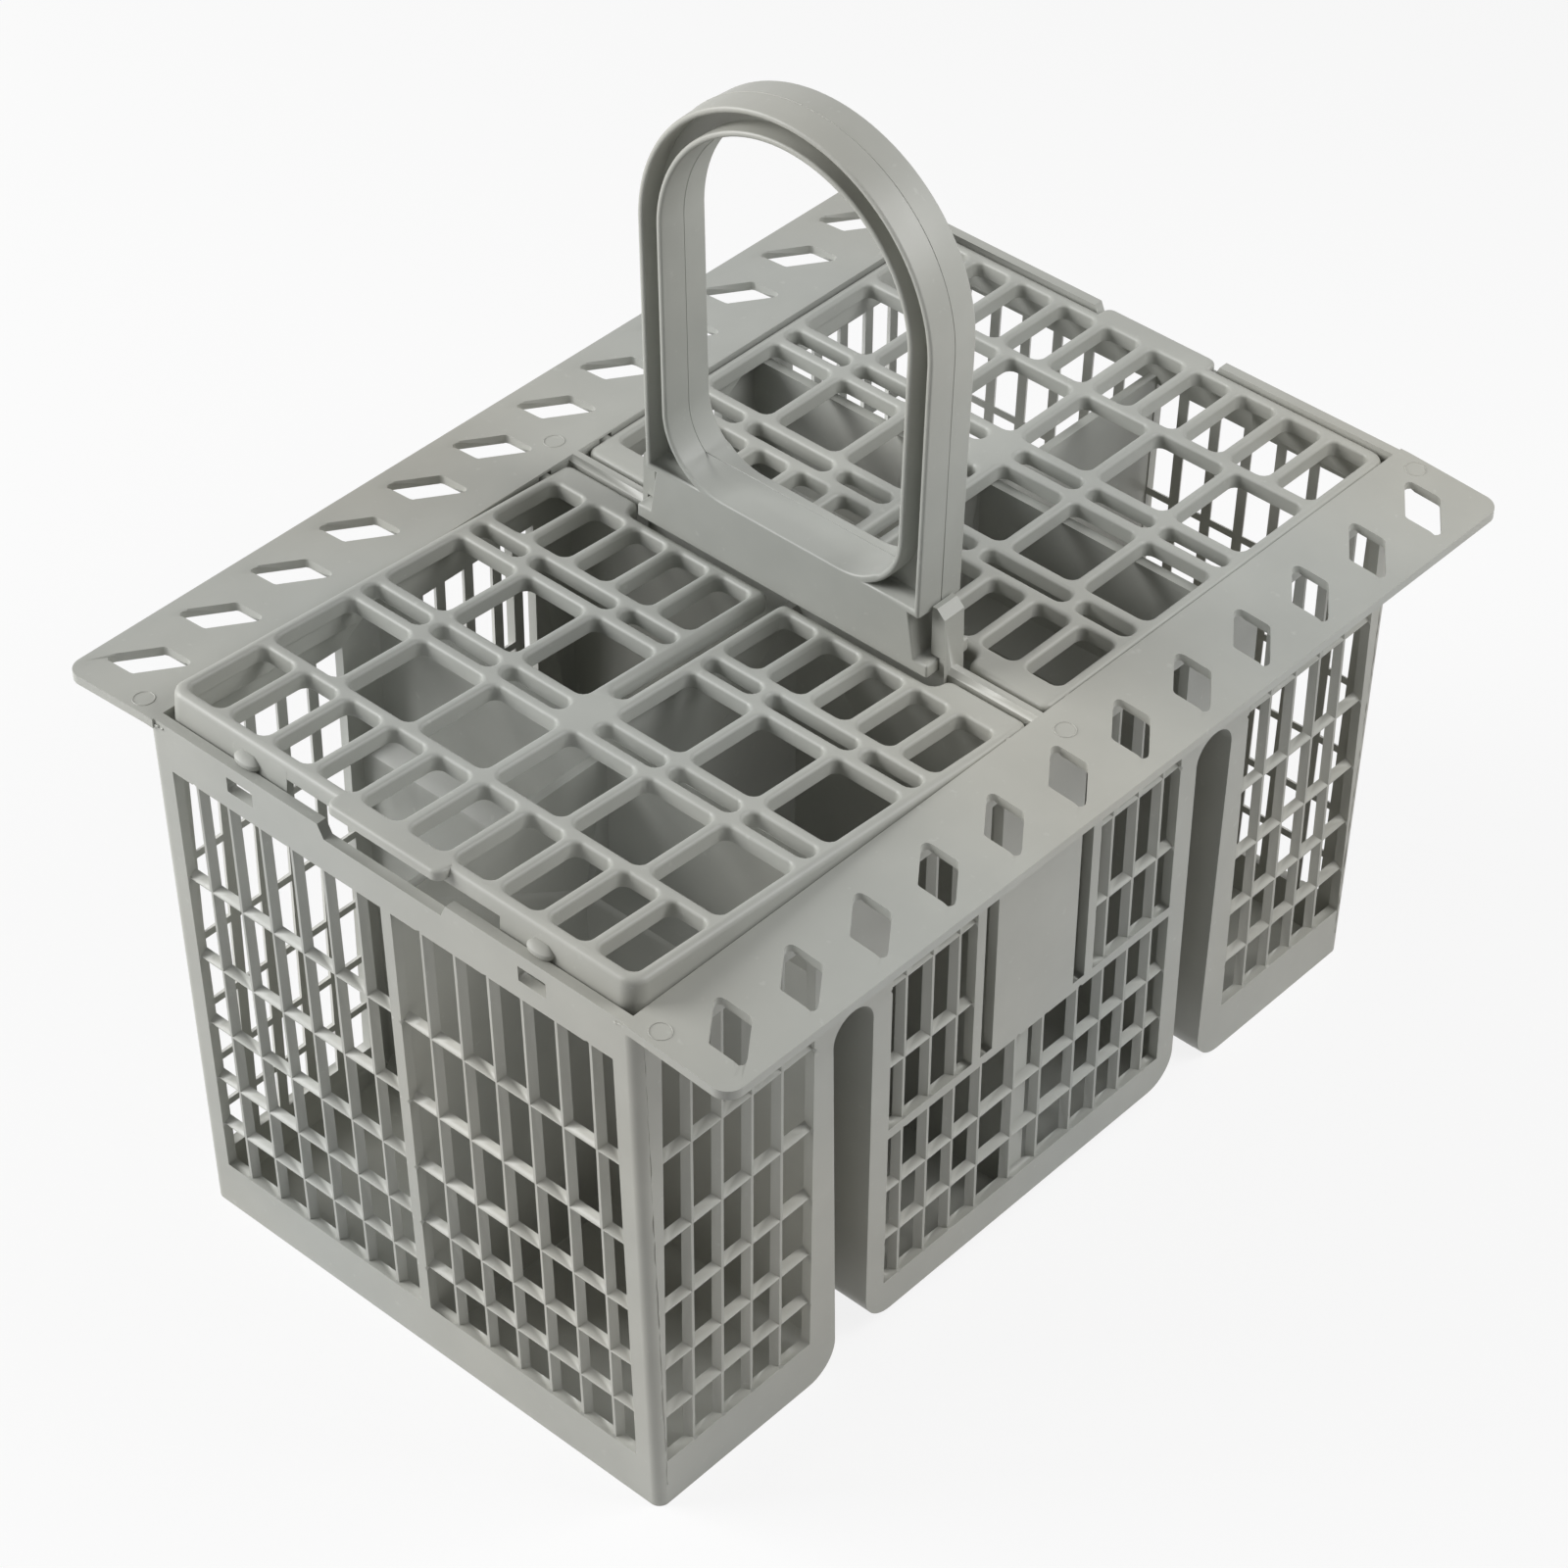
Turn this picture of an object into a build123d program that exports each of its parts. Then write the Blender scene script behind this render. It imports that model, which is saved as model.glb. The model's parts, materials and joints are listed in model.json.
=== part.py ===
from build123d import *
import os
from math import asin, atan2, degrees, hypot, sqrt

# A dishwasher cutlery basket: a lattice body with side wings, two hinged lids and a clipped-on handle.
# X runs across the basket, Y along it with the front end at -Y, Z up from the feet. Sizes in millimetres.

# Body
rim_height = 139.0
mouth_length = 239.0
foot_length = 229.0
body_width = 133.0
wall = 2.4
floor_thickness = 2.2
corner_radius = 2.5
middle_foot = 4.0

# Rack channels across the foot, which part the body into three bays
channel_y = 57.5
channel_width = 12.0
channel_top = 100.0
channel_pinch = 2.6
channel_wall = 2.0
channel_foot_radius = 8.0

# Walls inside
bay_wall = 2.4
spine = 2.2
cross_wall = 3.8
rib_bevel = 1.1

# Lattice of the walls: windows crossed by upright bars and by rails with a sloping top, ridged on the outside
grid_head = 12.0
grid_sill = 13.0
rail_count = 5
top_row = 29.7
row_shrink = 0.857
rail = 2.6
bar = 2.6
centre_bar = 2.8
corner_post = 6.0
end_pitch = 9.0
bay_post = 2.7
channel_post = 5.6
bay_columns = 5
panel_rail = 2
panel_half = 13.2
panel_slit = 3.8
panel_post = 2.7
middle_pitch = 8.2
middle_bars = 3
middle_end_cell = 5.1
low_bar_inner = 4.5
low_bar_outer = 15.8

# Side wings
wing_length = 240.0
wing_reach = 24.0
wing_thickness = 2.2
wing_droop = 1.5
wing_corner = 4.0
cutout_pitch = 19.5
cutout_inset = 4.0
cutout_edge = 9.5
cutout_slant = 8.0
cutout_depth = 10.5

# Lids
lid_sink = 0.5
lid_thickness = 4.0
lid_gap = 0.5
lid_cross_gap = 0.8
lid_corner = 4.0
lid_edge = 2.8
lid_bar = 2.6
lid_rib = 2.4
lid_centre_rib = 2.8
short_row = 18.7
slit_row = 4.4
square_row = 21.4
short_cells = 5
square_cells = 3
end_slit = 14.2
split_half = 1.8
split_rail = 2.7
split_length = 52.0
skirt_depth = 9.0
skirt_wall = 1.8
skirt_start = 66.0
skirt_gap = 29.0
tab_half = 15.5
tab_reach = 3.0
tab_thickness = 2.2
notch_half = 17.5
notch_depth = 3.2
notch_bevel = 1.5
peg_x = 40.0
peg_width = 6.5
peg_height = 3.0
peg_drop = 6.3
peg_reach = 2.0
peg_clearance = 0.4
peg_rest_gap = 0.1

# Lid hinges
pin_radius = 1.7
pin_sides = 8
pin_cover = 0.3
pin_reach = 1.4
pin_clearance = 0.15
hinge_setback = 2.7

# Handle
handle_depth = 13.0
handle_gap = 0.6
handle_drop = 0.6
base_height = 15.6
base_wall = 1.8
base_end_head = 34.5
base_end_foot = 36.2
lip_half = 39.8
lip_height = 3.3
leg_foot_half = 37.6
leg_head_half = 38.9
leg_height = 75.0
arch_rise = 38.5
arch_depth = 7.2
arch_rim = 1.8
arch_web = 2.4
loop_radius = 15.0

# Cross wall seat for the handle: a tenon inside its base and a latch tongue over each lip
seat_gap = 0.3
tenon_half = 30.0
tongue_thickness = 3.2
tongue_width = 6.0
tongue_height = 15.0
tongue_bevel = 2.0

half_width = body_width / 2
inside = half_width - wall
channel_inner = channel_y - channel_width / 2
channel_outer = channel_y + channel_width / 2
spring = channel_top - channel_width / 2
roof_half = channel_width / 2 + channel_wall
roof_eaves = spring + roof_half * (sqrt(2) - 1)
roof_top = roof_eaves + roof_half - bay_wall / 2
middle_floor = middle_foot + floor_thickness

lid_top = rim_height - lid_sink
lid_under = lid_top - lid_thickness
bay_wall_top = lid_under - lid_gap
skirt_foot = lid_top - skirt_depth
spine_top = skirt_foot - lid_gap
peg_foot = lid_top - peg_drop
hinge_y = handle_depth / 2 + hinge_setback
hinge_z = lid_top - pin_radius - pin_cover
lid_half = inside - lid_gap
lid_inner = cross_wall / 2 + lid_cross_gap
notch_inner = handle_depth / 2 + handle_gap

base_foot = rim_height - handle_drop
base_top = base_foot + base_height
base_roof = base_top - base_wall
lip_top = base_foot + lip_height
leg_top = rim_height + leg_height
tongue_root = lip_half + seat_gap
tongue_inner = leg_foot_half + seat_gap
lean = (mouth_length - foot_length) / 2 / rim_height


def end_outside(height):
    """Return how far the outer face of an end wall stands from the middle at a height."""
    return foot_length / 2 + lean * height


def end_inside(height):
    """Return how far the inner face of an end wall stands from the middle at a height."""
    return end_outside(height) - wall


def channel_side(height):
    """Return how far the outer side of a rack channel stands from the middle at a height."""
    return channel_outer - channel_pinch * (1 - height / spring)


def even_lines(start, stop, count):
    """Return the lines that part a stretch into a count of equal spaces."""
    return [start + (stop - start) * number / count for number in range(1, count)]


def spans(start, stop, lines, width):
    """Return the open stretches from start to stop between bars of a width centred on the lines."""
    edges = [start]
    for line in lines:
        edges += [line - width / 2, line + width / 2]
    edges.append(stop)
    return list(zip(edges[::2], edges[1::2]))


def mirrored(lines):
    """Return the lines together with their mirror images."""
    return lines + [-line for line in lines]


def cells(columns, low, high, mode):
    """Draw a row of rectangles from low to high, one for each column and one for its mirror image."""
    for start, stop in columns:
        with Locations(((start + stop) / 2, (low + high) / 2), (-(start + stop) / 2, (low + high) / 2)):
            Rectangle(stop - start, high - low, mode=mode)


def ridge(line, width):
    """Draw the section of a lid's bar, as wide as given on top and tapering to a ridge underneath."""
    Polygon((line - width / 2, lid_top), (line, lid_under), (line + width / 2, lid_top), align=None)


def arch(inset, foot, mode, corner=0):
    """Draw the outline of the handle's arch, moved in by an inset and closed at a foot height."""
    low = leg_foot_half - inset
    high = leg_head_half - inset
    legs = ((-high, leg_top), (-low, foot), (low, foot), (high, leg_top))
    with BuildLine(Plane.XY) as outline:
        if corner:
            FilletPolyline(*legs, radius=corner)
        else:
            Polyline(*legs)
        ThreePointArc(legs[-1], (0, leg_top + arch_rise - inset), legs[0])
    make_face(outline.edges(), mode=mode)


# Heights of the lattice rails from the rim down, each row below the top one shorter than the row above
grid_top = rim_height - grid_head
rail_lines = [grid_top - top_row]
next_row = (rail_lines[0] - grid_sill) * (1 - row_shrink) / (1 - row_shrink**rail_count)
for number in range(rail_count - 1):
    rail_lines.append(rail_lines[-1] - next_row * row_shrink**number)
panel_foot = rail_lines[panel_rail]

# Places of the lattice bars
end_field = half_width - corner_post
end_bars = [end_pitch * number for number in range(1, int((end_field - bar) / end_pitch) + 1)]
bay_start = channel_outer + channel_post
bay_stop = end_outside(grid_sill) - bay_post
middle_field = channel_inner - channel_post
slit_stop = panel_half + panel_slit
post_stop = slit_stop + panel_post
side_bars = [low_bar_inner, low_bar_outer]
side_bars += [middle_field - middle_end_cell - middle_pitch * number for number in range(middle_bars)]
side_bars += even_lines(bay_start, bay_stop, bay_columns)

with BuildPart() as basket_body:
    # Side outline with leaning ends and the two rack channels
    with BuildSketch(Plane.YZ) as side:
        with BuildLine():
            Polyline(
                (-foot_length / 2, 0),
                (-mouth_length / 2, rim_height),
                (mouth_length / 2, rim_height),
                (foot_length / 2, 0),
                close=True,
            )
        make_face()
        with Locations((0, middle_foot / 2)):
            Rectangle(2 * channel_inner, middle_foot, mode=Mode.SUBTRACT)
        for end in (-1, 1):
            with BuildLine():
                Polyline(
                    (end * channel_inner, spring),
                    (end * channel_inner, 0),
                    (end * channel_side(0), 0),
                    (end * channel_outer, spring),
                )
                ThreePointArc(
                    (end * channel_outer, spring),
                    (end * channel_y, channel_top),
                    (end * channel_inner, spring),
                )
            make_face(mode=Mode.SUBTRACT)
        bay_corners = side.vertices().filter_by(
            lambda corner: corner.Y < spring and abs(corner.X) < channel_outer
        )
        fillet(bay_corners, radius=channel_foot_radius)
    extrude(amount=half_width, both=True)
    uprights = basket_body.edges().filter_by(
        lambda edge: abs(edge.center().X) > inside
        and abs(edge.center().Y) > channel_outer
        and edge.center().Z > middle_foot
    )
    fillet(uprights, radius=corner_radius)

    # Hollow bays on each side of the spine, with the channels' gabled roofs left standing
    for hand in (-1, 1):
        with BuildSketch(Plane.YZ.offset(hand * spine / 2)):
            for end in (-1, 1):
                with BuildLine():
                    Polyline(
                        (end * (channel_y + bay_wall / 2), roof_top),
                        (end * (channel_y + bay_wall / 2), rim_height),
                        (end * end_inside(rim_height), rim_height),
                        (end * end_inside(floor_thickness), floor_thickness),
                        (end * (channel_side(floor_thickness) + channel_wall), floor_thickness),
                        (end * (channel_outer + channel_wall), spring),
                        (end * (channel_outer + channel_wall), roof_eaves),
                        close=True,
                    )
                make_face()
                with BuildLine():
                    Polyline(
                        (end * (channel_y - bay_wall / 2), roof_top),
                        (end * (channel_y - bay_wall / 2), rim_height),
                        (end * cross_wall / 2, rim_height),
                        (end * cross_wall / 2, middle_floor),
                        (end * (channel_inner - channel_wall), middle_floor),
                        (end * (channel_inner - channel_wall), roof_eaves),
                        close=True,
                    )
                make_face()
        extrude(amount=hand * (inside - spine / 2), mode=Mode.SUBTRACT)

    # Bay walls and spine cut down to stand clear of the lids
    with BuildSketch(Plane.YZ):
        for end in (-1, 1):
            with BuildLine():
                Polyline(
                    (end * cross_wall / 2, bay_wall_top),
                    (end * cross_wall / 2, rim_height),
                    (end * end_inside(rim_height), rim_height),
                    (end * end_inside(bay_wall_top), bay_wall_top),
                    close=True,
                )
            make_face()
    extrude(amount=inside, both=True, mode=Mode.SUBTRACT)
    with BuildSketch(Plane.YZ):
        for end in (-1, 1):
            with BuildLine():
                Polyline(
                    (end * (channel_y + bay_wall / 2), spine_top),
                    (end * (channel_y + bay_wall / 2), bay_wall_top),
                    (end * end_inside(bay_wall_top), bay_wall_top),
                    (end * end_inside(spine_top), spine_top),
                    close=True,
                )
            make_face()
    extrude(amount=spine / 2, both=True, mode=Mode.SUBTRACT)

    # Cross wall: bevelled rib, low seat and tenon for the handle, latch tongues
    rib_edges = basket_body.edges().filter_by(Axis.X).filter_by(
        lambda edge: abs(edge.center().Y) < cross_wall and edge.center().Z > bay_wall_top
    )
    chamfer(rib_edges, length=rib_bevel)
    with BuildSketch(Plane.XZ):
        with Locations((0, rim_height)):
            Rectangle(2 * tongue_root, 2 * (handle_drop + seat_gap))
    extrude(amount=cross_wall / 2, both=True, mode=Mode.SUBTRACT)
    with BuildSketch(Plane.XZ):
        with Locations((0, base_roof)):
            Rectangle(2 * tenon_half, base_roof - base_foot + seat_gap, align=(Align.CENTER, Align.MAX))
    extrude(amount=cross_wall / 2, both=True)
    with BuildSketch(Plane.XZ):
        for hand in (-1, 1):
            with BuildLine():
                Polyline(
                    (hand * tongue_root, skirt_foot),
                    (hand * tongue_root, lip_top + seat_gap),
                    (hand * tongue_inner, lip_top + seat_gap),
                    (hand * tongue_inner, rim_height + tongue_height),
                    (hand * (tongue_inner + tongue_thickness - tongue_bevel), rim_height + tongue_height),
                    (hand * (tongue_inner + tongue_thickness), rim_height + tongue_height - tongue_bevel),
                    (hand * (tongue_root + tongue_thickness / 2), skirt_foot),
                    close=True,
                )
            make_face()
    extrude(amount=tongue_width / 2, both=True)

    # Side wings, drooping a little towards their outer edges
    with BuildSketch(Plane.XZ):
        for hand in (-1, 1):
            with BuildLine():
                Polyline(
                    (hand * inside, rim_height),
                    (hand * half_width, rim_height),
                    (hand * (half_width + wing_reach), rim_height - wing_droop),
                    (hand * (half_width + wing_reach), rim_height - wing_droop - wing_thickness),
                    (hand * half_width, rim_height - wing_thickness),
                    (hand * inside, rim_height - wing_thickness),
                    close=True,
                )
            make_face()
    extrude(amount=wing_length / 2, both=True)
    wing_ends = basket_body.edges().filter_by(Axis.Z).filter_by(
        lambda edge: abs(edge.center().X) > half_width + wing_reach / 2
    )
    fillet(wing_ends, radius=wing_corner)

    # Slanted cut-outs along the wings
    cutout_x = half_width + cutout_inset + (cutout_edge + cutout_slant) / 2
    with BuildSketch(Plane.XY.offset(rim_height)):
        for hand in (-1, 1):
            with Locations((hand * cutout_x, 0)):
                with GridLocations(0, cutout_pitch, 1, int(wing_length / cutout_pitch)):
                    Polygon(
                        (-hand * (cutout_edge + cutout_slant) / 2, cutout_depth / 2),
                        (hand * (cutout_edge - cutout_slant) / 2, cutout_depth / 2),
                        (hand * (cutout_edge + cutout_slant) / 2, -cutout_depth / 2),
                        (-hand * (cutout_edge - cutout_slant) / 2, -cutout_depth / 2),
                        align=None,
                    )
    extrude(amount=-2 * (wing_thickness + wing_droop), mode=Mode.SUBTRACT)

    # End walls: windows, lattice, finger notch and peg slots
    grid_start = min(end_inside(0), end_inside(rim_height)) - wall
    grid_stop = max(foot_length, mouth_length) / 2 + wall
    grid_slope = sqrt(1 + lean**2)
    for end in (-1, 1):
        with BuildSketch(Plane.XZ.offset(-end * grid_start)):
            cells([(centre_bar / 2, end_field)], grid_sill, grid_top, Mode.ADD)
            peg_span = (peg_x - peg_width / 2 - peg_clearance, peg_x + peg_width / 2 + peg_clearance)
            cells([peg_span], peg_foot - peg_clearance, peg_foot + peg_height + peg_clearance, Mode.ADD)
            with BuildLine():
                Polyline(
                    (-notch_half, rim_height),
                    (notch_half, rim_height),
                    (notch_half - notch_bevel, rim_height - notch_depth),
                    (notch_bevel - notch_half, rim_height - notch_depth),
                    close=True,
                )
            make_face()
        extrude(amount=-end * (grid_stop - grid_start), mode=Mode.SUBTRACT)
        with BuildSketch(Plane.XY.offset(grid_sill)):
            with Locations([(line, 0) for line in mirrored(end_bars)]):
                Polygon(
                    (-bar / 2, end * end_inside(grid_sill)),
                    (0, end * end_outside(grid_sill)),
                    (bar / 2, end * end_inside(grid_sill)),
                    align=None,
                )
        extrude(amount=(grid_top - grid_sill) * grid_slope, dir=(0, end * lean, 1))
    with BuildSketch(Plane.YZ):
        for end in (-1, 1):
            for line in rail_lines:
                Polygon(
                    (end * end_inside(line), line),
                    (end * end_outside(line), line),
                    (end * end_inside(line + rail), line + rail),
                    align=None,
                )
    extrude(amount=end_field, both=True)

    # Long walls: windows, lattice, plain panel with a slit at each side, hinge sockets
    for hand in (-1, 1):
        with BuildSketch(Plane.YZ.offset(hand * inside)):
            cells([(bay_start, bay_stop)], grid_sill, grid_top, Mode.ADD)
            cells([(post_stop, middle_field)], panel_foot + rail, grid_top, Mode.ADD)
            cells([(0, middle_field)], grid_sill, panel_foot, Mode.ADD)
        extrude(amount=hand * wall, mode=Mode.SUBTRACT)
    with BuildSketch(Plane.XY.offset(grid_sill)):
        for hand in (-1, 1):
            with Locations([(0, line) for line in mirrored(side_bars)]):
                Polygon(
                    (hand * inside, -bar / 2),
                    (hand * half_width, 0),
                    (hand * inside, bar / 2),
                    align=None,
                )
    extrude(amount=grid_top - grid_sill)
    for start, stop in ((-bay_stop, -bay_start), (-middle_field, middle_field), (bay_start, bay_stop)):
        with BuildSketch(Plane.XZ.offset(-start)):
            for hand in (-1, 1):
                for line in rail_lines:
                    Polygon(
                        (hand * inside, line),
                        (hand * half_width, line),
                        (hand * inside, line + rail),
                        align=None,
                    )
        extrude(amount=start - stop)
    for hand in (-1, 1):
        with BuildSketch(Plane.YZ.offset(hand * inside)):
            cells([(panel_half, slit_stop)], panel_foot + rail, grid_top, Mode.ADD)
        extrude(amount=hand * wall, mode=Mode.SUBTRACT)
        with BuildSketch(Plane.YZ.offset(hand * inside)):
            with Locations((-hinge_y, hinge_z), (hinge_y, hinge_z)):
                Rectangle(2 * (pin_radius + pin_clearance), 2 * (pin_radius + pin_clearance))
        extrude(amount=hand * (pin_reach + pin_clearance), mode=Mode.SUBTRACT)

basket_body.part.label = "basket_body"

with BuildPart() as rear_lid:
    # Lid plate in its closed place, with six rows of openings from the hinge to the outer edge
    lid_outer = end_inside(lid_under) - lid_gap
    lid_field = lid_half - lid_edge
    rail_edge = split_half + split_rail
    notch_x = tongue_root + tongue_thickness / 2 + handle_gap
    slit_ribs = [rail_edge + end_slit + lid_rib / 2, lid_field - end_slit - lid_rib / 2]
    short_ribs = even_lines(rail_edge - lid_rib / 2, lid_field + lid_rib / 2, short_cells)
    square_ribs = even_lines(rail_edge - lid_rib / 2, lid_field + lid_rib / 2, square_cells)
    outer_squares = even_lines((lid_centre_rib - lid_rib) / 2, lid_field + lid_rib / 2, square_cells)
    outer_shorts = even_lines((lid_centre_rib - lid_rib) / 2, lid_field + lid_rib / 2, short_cells)
    with BuildSketch(Plane.XY.offset(lid_top)) as plate:
        with Locations((0, lid_inner)):
            Rectangle(2 * lid_half, lid_outer - lid_inner, align=(Align.CENTER, Align.MIN))
        fillet(plate.vertices().group_by(Axis.Y)[-1], radius=lid_corner)
        cells([(0, notch_x)], lid_inner, notch_inner, Mode.SUBTRACT)
        cells([(0, split_half)], lid_inner, lid_inner + split_length, Mode.SUBTRACT)
    extrude(amount=-lid_thickness)

    # Two windows on each side of the middle, crossed by bars and ribs that taper to a ridge underneath
    inner_rows = (
        (short_row, short_ribs),
        (slit_row, slit_ribs),
        (square_row, square_ribs),
        (slit_row, square_ribs),
    )
    window_foot = notch_inner + lid_bar
    outer_foot = window_foot + sum(height + lid_bar for height, ribs in inner_rows)
    last_row = lid_outer - lid_edge - outer_foot - square_row - lid_bar
    outer_rows = ((square_row, outer_squares), (last_row, outer_shorts))
    for start, rows in ((rail_edge, inner_rows), (lid_centre_rib / 2, outer_rows)):
        row_feet = [window_foot]
        for height, ribs in rows:
            row_feet.append(row_feet[-1] + height + lid_bar)
        with BuildSketch(Plane.XY.offset(lid_top)):
            cells([(start, lid_field)], window_foot, row_feet[-1] - lid_bar, Mode.ADD)
        extrude(amount=-lid_thickness, mode=Mode.SUBTRACT)
        for hand in (-1, 1):
            with BuildSketch(Plane.YZ.offset(hand * start)):
                for foot in row_feet[1:-1]:
                    ridge(foot - lid_bar / 2, lid_bar)
            extrude(amount=hand * (lid_field - start))
        for foot, (height, ribs) in zip(row_feet, rows):
            with BuildSketch(Plane.XZ.offset(lid_bar / 2 - foot)):
                for line in mirrored(ribs):
                    ridge(line, lid_rib)
            extrude(amount=-height - lid_bar)
        window_foot = row_feet[-1]

    # Skirt round the outer end, left open behind the finger tab
    with BuildSketch(Plane.XY.offset(lid_under)) as skirt:
        with Locations((0, skirt_start)):
            Rectangle(2 * lid_half, lid_outer - skirt_start, align=(Align.CENTER, Align.MIN))
        fillet(skirt.vertices().group_by(Axis.Y)[-1], radius=lid_corner)
        cells([(0, lid_half - skirt_wall)], skirt_start, lid_outer - skirt_wall, Mode.SUBTRACT)
        cells([(0, skirt_gap)], skirt_start, lid_outer, Mode.SUBTRACT)
    extrude(amount=lid_thickness - skirt_depth)

    # Finger tab and snap pegs
    with BuildSketch(Plane.XY.offset(lid_top)):
        cells([(0, tab_half)], lid_outer - lid_edge, lid_outer + tab_reach, Mode.ADD)
    extrude(amount=-tab_thickness)
    with BuildSketch(Plane.XY.offset(peg_foot)):
        peg_columns = [(peg_x - peg_width / 2, peg_x + peg_width / 2)]
        cells(peg_columns, lid_outer - skirt_wall, lid_outer + peg_reach, Mode.ADD)
    extrude(amount=peg_height)

    # Hinge pins
    for hand in (-1, 1):
        with BuildSketch(Plane.YZ.offset(hand * lid_half)):
            with Locations((hinge_y, hinge_z)):
                RegularPolygon(radius=pin_radius, side_count=pin_sides)
        extrude(amount=hand * (inside + pin_reach - lid_half))

rear_lid.part.label = "rear_lid"

# The front lid is the same moulding turned round, lifted until its pegs rest on the edge of the wall
rest_run = end_inside(rim_height) - hinge_y
rest_rise = rim_height + peg_rest_gap - hinge_z
lid_lift = degrees(atan2(rest_rise, rest_run) + asin((hinge_z - peg_foot) / hypot(rest_run, rest_rise)))
front_hinge = Axis((0, -hinge_y, hinge_z), (-1, 0, 0))

with BuildPart() as front_lid:
    add(rear_lid.part.rotate(Axis.Z, 180).rotate(front_hinge, lid_lift))

front_lid.part.label = "front_lid"

with BuildPart() as handle:
    # Web of the arch, then the rims that stand out from it on both sides
    with BuildSketch(Plane.XZ):
        arch(0, base_roof, Mode.ADD)
        arch(arch_depth, base_top, Mode.SUBTRACT, loop_radius)
    extrude(amount=arch_web / 2, both=True)
    with BuildSketch(Plane.XZ):
        arch(0, base_roof, Mode.ADD)
        arch(arch_rim, base_roof, Mode.SUBTRACT)
        arch(arch_depth - arch_rim, base_top - arch_rim, Mode.ADD, loop_radius + arch_rim)
        arch(arch_depth, base_top, Mode.SUBTRACT, loop_radius)
    extrude(amount=handle_depth / 2, both=True)

    # Base with slanting ends, a lip under each end and a slot over the tenon
    with BuildSketch(Plane.XZ):
        with BuildLine():
            Polyline(
                (-leg_foot_half, base_top),
                (leg_foot_half, base_top),
                (leg_foot_half, base_roof),
                (base_end_head, base_roof),
                (base_end_foot, lip_top),
                (lip_half, lip_top),
                (lip_half, base_foot),
                (-lip_half, base_foot),
                (-lip_half, lip_top),
                (-base_end_foot, lip_top),
                (-base_end_head, base_roof),
                (-leg_foot_half, base_roof),
                close=True,
            )
        make_face()
    extrude(amount=handle_depth / 2, both=True)
    with BuildSketch(Plane.XZ):
        with Locations((0, base_roof)):
            slot_length = 2 * (tenon_half + seat_gap)
            Rectangle(slot_length, base_roof - base_foot, align=(Align.CENTER, Align.MAX))
    extrude(amount=cross_wall / 2 + seat_gap, both=True, mode=Mode.SUBTRACT)

handle.part.label = "handle"

os.makedirs("parts", exist_ok=True)
for piece in (basket_body, front_lid, rear_lid, handle):
    export_step(piece.part, f"parts/{piece.part.label}.step")
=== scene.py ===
import json
import math
import random

import bmesh
import bpy
from bpy.props import FloatProperty, FloatVectorProperty, IntProperty, PointerProperty
from mathutils import Matrix, Vector


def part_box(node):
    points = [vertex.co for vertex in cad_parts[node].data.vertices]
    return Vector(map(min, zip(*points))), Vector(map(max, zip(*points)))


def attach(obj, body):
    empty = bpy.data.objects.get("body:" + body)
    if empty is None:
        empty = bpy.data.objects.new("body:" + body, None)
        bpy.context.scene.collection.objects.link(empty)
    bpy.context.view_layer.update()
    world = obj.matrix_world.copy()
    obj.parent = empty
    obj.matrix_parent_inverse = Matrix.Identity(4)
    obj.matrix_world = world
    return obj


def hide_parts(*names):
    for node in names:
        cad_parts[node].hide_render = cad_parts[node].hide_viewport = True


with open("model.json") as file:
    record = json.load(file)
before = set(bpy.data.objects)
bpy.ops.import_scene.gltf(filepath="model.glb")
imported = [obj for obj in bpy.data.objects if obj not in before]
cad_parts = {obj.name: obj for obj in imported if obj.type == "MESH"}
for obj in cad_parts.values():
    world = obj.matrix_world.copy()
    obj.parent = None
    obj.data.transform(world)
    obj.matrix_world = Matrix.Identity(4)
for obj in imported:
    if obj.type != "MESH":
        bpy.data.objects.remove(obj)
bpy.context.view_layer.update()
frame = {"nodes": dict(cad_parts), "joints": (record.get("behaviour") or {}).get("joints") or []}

bl_info = {
    "name": "Cutlery Basket",
    "version": (1, 0, 0),
    "blender": (4, 5, 0),
    "location": "View3D > Sidebar > Basket",
    "description": "Dresses a cutlery basket: rounded mouldings, mould marks, grey plastic and a studio",
    "category": "Object",
}

MM = 0.001


def length(name, description, default):
    """Return a length property whose default is given in millimetres."""
    return FloatProperty(name=name, description=description, default=default * MM, unit="LENGTH", precision=5)


class BasketEdges(bpy.types.PropertyGroup):
    """Roundings of the mouldings."""

    body: length("Body edges", "Rounding along the edges of the body", 0.4)
    bar: length("Wall bars", "How far the flat along a bar's ridge reaches down its sides", 0.7)
    lid: length("Lid edges", "Rounding along the outer edges of the lids", 1.4)
    lid_bar: length("Lid bars", "Rounding along the bars of the lids", 0.9)
    lid_under: length("Lid underside", "Rounding along the lower edges of the lids", 0.3)
    lid_corner: length("Lid corners", "Radius in the corners of the lids' outlines", 2.2)
    tab: length("Tab edges", "Rounding along the edges of the finger tabs", 0.9)
    handle: length("Handle edges", "Rounding along the edges of the handle", 0.5)
    lid_cell: length("Lid cell corners", "Radius in the corners of the lid openings", 2.0)
    cutout: length("Cut-out corners", "Radius in the corners of the wing cut-outs", 1.5)
    steps: IntProperty(name="Steps", description="Facets across a rounding", default=2, min=1, max=6)
    corner_steps: IntProperty(
        name="Corner steps", description="Facets round a corner", default=4, min=1, max=8
    )


class BasketWings(bpy.types.PropertyGroup):
    """Wings along the sides, at the rim."""

    wall: length("Wall", "Distance of the side walls' outer faces from the middle", 66.5)
    rim: length("Rim", "Height of the rim", 139.0)
    droop: length("Droop", "How far the wings fall from the wall to their outer edge", 1.5)


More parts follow.
